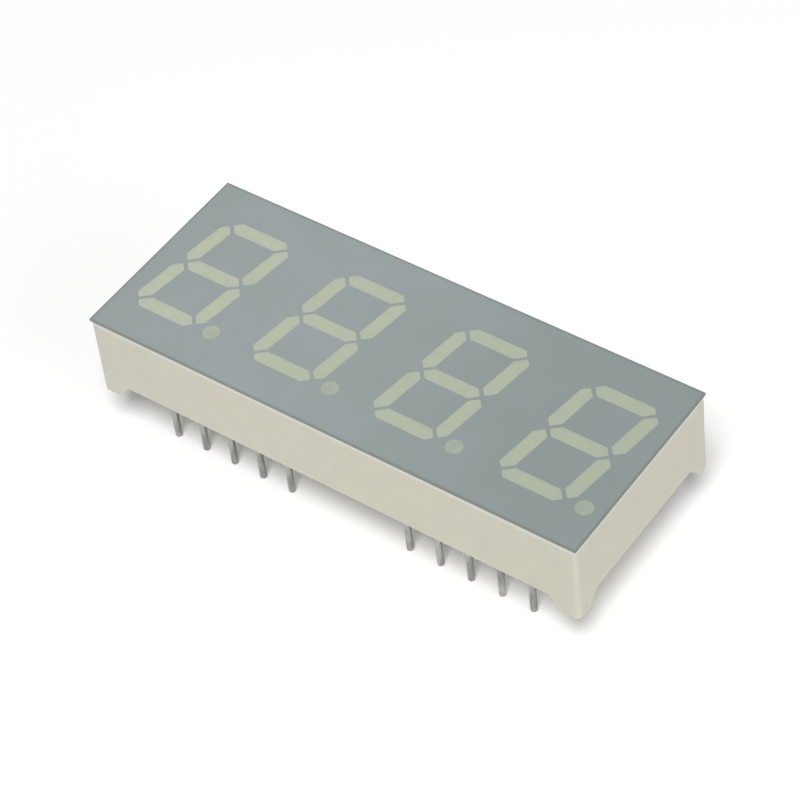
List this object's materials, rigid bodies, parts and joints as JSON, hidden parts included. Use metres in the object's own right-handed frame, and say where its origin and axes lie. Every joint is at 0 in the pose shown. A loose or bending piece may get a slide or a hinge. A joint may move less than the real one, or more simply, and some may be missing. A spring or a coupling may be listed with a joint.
{
  "type": "seven-segment display",
  "caption": "Multi-digit seven-segment LED display with decimal points, grey face and pale segments, on two rows of through-hole pins.",
  "frame": {"origin": "middle of the pin field on the seating plane, where the four corner feet stand on a circuit board", "axes": "+X along the row of digits in reading order, +Y from the bottom of the digits to their top, +Z out of the display face"},
  "size_m": [0.0402, 0.016, 0.0108],
  "materials": {
    "housing": "matte moulded",
    "face_film": "matte printed film",
    "segment_resin": "milky diffused resin",
    "board": "glass-epoxy laminate",
    "copper": "plated copper foil",
    "chip": "polished semiconductor",
    "bond_wire": "bright drawn wire",
    "pin": "tinned",
    "solder": "bright solder",
    "potting": "cast epoxy"
  },
  "bodies": {
    "root": {"reflector_housing": "housing", "face_film": "face_film", "segment_1a": "segment_resin", "segment_1b": "segment_resin", "segment_1c": "segment_resin", "segment_1d": "segment_resin", "segment_1e": "segment_resin", "segment_1f": "segment_resin", "segment_1g": "segment_resin", "segment_2a": "segment_resin", "segment_2b": "segment_resin", "segment_2c": "segment_resin", "segment_2d": "segment_resin", "segment_2e": "segment_resin", "segment_2f": "segment_resin", "segment_2g": "segment_resin", "segment_3a": "segment_resin", "segment_3b": "segment_resin", "segment_3c": "segment_resin", "segment_3d": "segment_resin", "segment_3e": "segment_resin", "segment_3f": "segment_resin", "segment_3g": "segment_resin", "segment_4a": "segment_resin", "segment_4b": "segment_resin", "segment_4c": "segment_resin", "segment_4d": "segment_resin", "segment_4e": "segment_resin", "segment_4f": "segment_resin", "segment_4g": "segment_resin", "point_1": "segment_resin", "point_2": "segment_resin", "point_3": "segment_resin", "point_4": "segment_resin", "circuit_board": "board", "copper_tracks": "copper", "led_chips": "chip", "bond_wires": "bond_wire", "pin_01": "pin", "pin_02": "pin", "pin_03": "pin", "pin_04": "pin", "pin_05": "pin", "pin_06": "pin", "pin_07": "pin", "pin_08": "pin", "pin_09": "pin", "pin_10": "pin", "pin_11": "pin", "pin_12": "pin", "pin_13": "pin", "pin_14": "pin", "pin_15": "pin", "pin_16": "pin", "pin_17": "pin", "pin_18": "pin", "pin_19": "pin", "pin_20": "pin", "solder_joints": "solder", "potting": "potting"}
  },
  "joints": []
}
